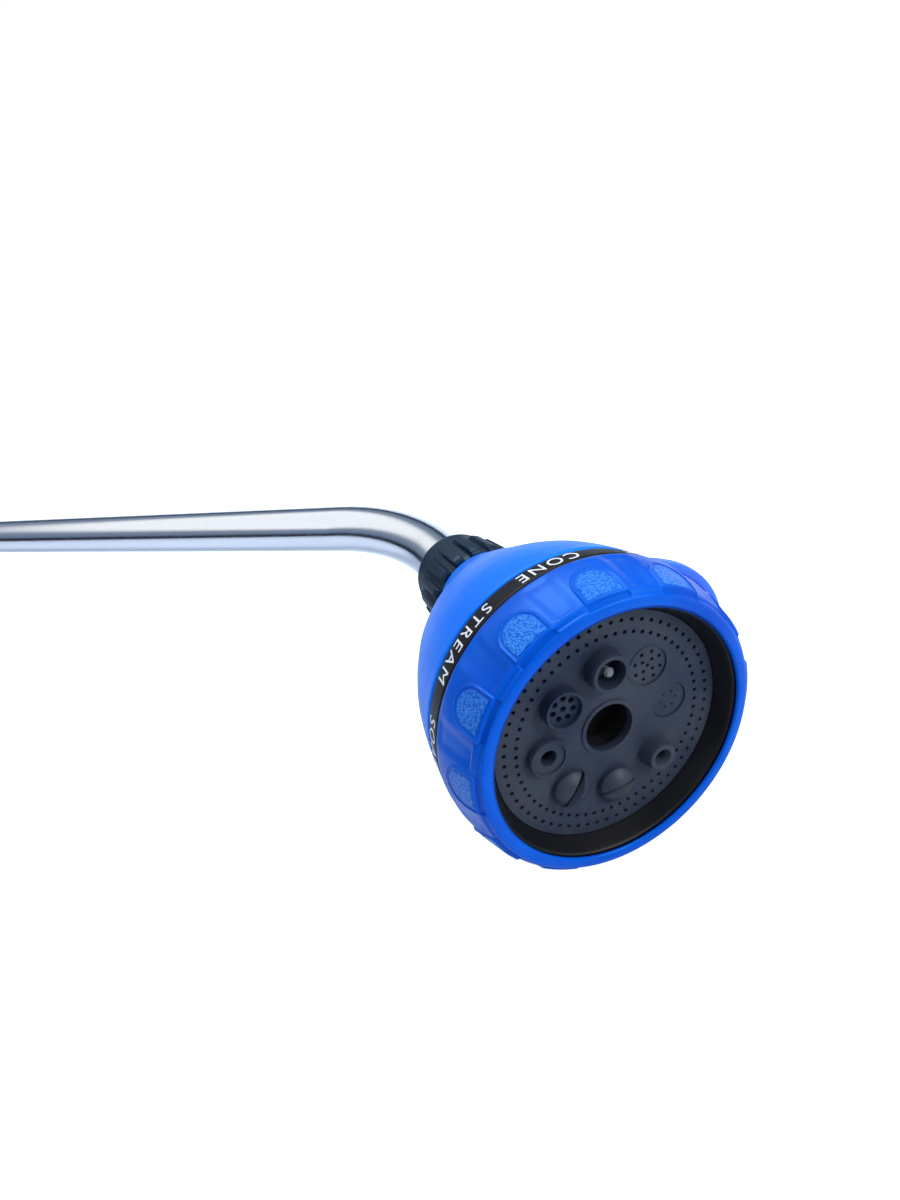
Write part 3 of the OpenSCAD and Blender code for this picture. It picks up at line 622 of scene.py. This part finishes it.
tube_metal = bpy.data.materials.new("tube_metal")
tube_metal.use_nodes = True
tree = tube_metal.node_tree
shader = tree.nodes["Principled BSDF"]
shader.inputs["Metallic"].default_value = 1
marks_in = {}
for mark in ("along", "round_x", "round_y"):
    marks_in[mark] = tree.nodes.new("ShaderNodeAttribute")
    marks_in[mark].attribute_name = mark
stretch = tree.nodes.new("ShaderNodeMath")
stretch.operation = "MULTIPLY"
stretch.inputs[1].default_value = 0.012
lay = tree.nodes.new("ShaderNodeCombineXYZ")
draw_lines = tree.nodes.new("ShaderNodeTexNoise")
draw_lines.inputs["Scale"].default_value = 34
draw_lines.inputs["Detail"].default_value = 5
gloss = tree.nodes.new("ShaderNodeMapRange")
gloss.inputs["From Min"].default_value = 0.3
gloss.inputs["From Max"].default_value = 0.75
gloss.inputs["To Min"].default_value = 0.09
gloss.inputs["To Max"].default_value = 0.2
tint = tree.nodes.new("ShaderNodeMix")
tint.data_type = "RGBA"
tint.inputs["A"].default_value = (0.86, 0.88, 0.92, 1)
tint.inputs["B"].default_value = (0.74, 0.77, 0.83, 1)
line_bump = tree.nodes.new("ShaderNodeBump")
line_bump.inputs["Distance"].default_value = 0.000012
tree.links.new(marks_in["along"].outputs["Fac"], stretch.inputs[0])
tree.links.new(stretch.outputs["Value"], lay.inputs["X"])
tree.links.new(marks_in["round_x"].outputs["Fac"], lay.inputs["Y"])
tree.links.new(marks_in["round_y"].outputs["Fac"], lay.inputs["Z"])
tree.links.new(lay.outputs["Vector"], draw_lines.inputs["Vector"])
tree.links.new(draw_lines.outputs["Fac"], gloss.inputs["Value"])
tree.links.new(gloss.outputs["Result"], shader.inputs["Roughness"])
tree.links.new(draw_lines.outputs["Fac"], tint.inputs["Factor"])
tree.links.new(tint.outputs["Result"], shader.inputs["Base Color"])
tree.links.new(draw_lines.outputs["Fac"], line_bump.inputs["Height"])
tree.links.new(line_bump.outputs["Normal"], shader.inputs["Normal"])
tube.data.materials.append(tube_metal)

# ---------------------------------------------------------------------------
# Grip, valve and hose inlet, carried over from the CAD with their own finishes.
foam_black = moulded_finish("foam_black", (0.02, 0.02, 0.022), (0.03, 0.03, 0.033), gloss=0.75, drift=0.1,
                            pebbles=900, depth=0.00025, sheen=0.2)
coat_node("foam_grip", foam_black)
lever_blue = moulded_finish("lever_blue", (0.01, 0.16, 0.7), (0.01, 0.13, 0.6), gloss=0.25,
                            shine=(0.4, 0.7, 1.0))
for node in ("thumb_lever", "grip_collar"):
    coat_node(node, lever_blue)
for node in ("valve_body", "valve_nut", "inlet_nut"):
    coat_node(node, nut_black)
seal_black = moulded_finish("seal_black", (0.015, 0.015, 0.016), (0.022, 0.022, 0.024), gloss=0.5)
for node in ("hose_washer", "stem_o_rings", "tail_o_ring", "head_o_ring", "outlet_seal"):
    coat_node(node, seal_black)
part_white = moulded_finish("part_white", (0.8, 0.8, 0.76), (0.72, 0.72, 0.68), gloss=0.4)
for node in ("ball_seats", "tail_ferrule", "head_ferrule", "dial_washer"):
    coat_node(node, part_white)


def turned_metal(name, colour, deep, low, high):
    """Material of turned or drawn metal: noise drives its colour and gloss."""
    material = bpy.data.materials.new(name)
    material.use_nodes = True
    tree = material.node_tree
    shader = tree.nodes["Principled BSDF"]
    shader.inputs["Metallic"].default_value = 1
    skin_node = tree.nodes.new("ShaderNodeGroup")
    skin_node.node_tree = moulded
    skin_node.inputs["Colour"].default_value = (*colour, 1)
    skin_node.inputs["Deep colour"].default_value = (*deep, 1)
    skin_node.inputs["Gloss"].default_value = low
    skin_node.inputs["Gloss drift"].default_value = high - low
    tree.links.new(skin_node.outputs["Colour"], shader.inputs["Base Color"])
    tree.links.new(skin_node.outputs["Roughness"], shader.inputs["Roughness"])
    return material


screw_steel = turned_metal("screw_steel", (0.62, 0.63, 0.65), (0.5, 0.51, 0.53), 0.2, 0.45)
dark_steel = turned_metal("dark_steel", (0.03, 0.03, 0.034), (0.02, 0.02, 0.022), 0.4, 0.6)
coat_node("dial_screw", dark_steel)
for node in ("lever_screws", "core_screws", "detent_pin", "detent_spring", "seal_spring"):
    coat_node(node, screw_steel)
stem_brass = turned_metal("stem_brass", (0.65, 0.48, 0.2), (0.5, 0.36, 0.14), 0.25, 0.5)
coat_node("ball_stems", stem_brass)
ball_chrome = turned_metal("ball_chrome", (0.7, 0.71, 0.73), (0.6, 0.61, 0.63), 0.06, 0.2)
coat_node("valve_ball", ball_chrome)
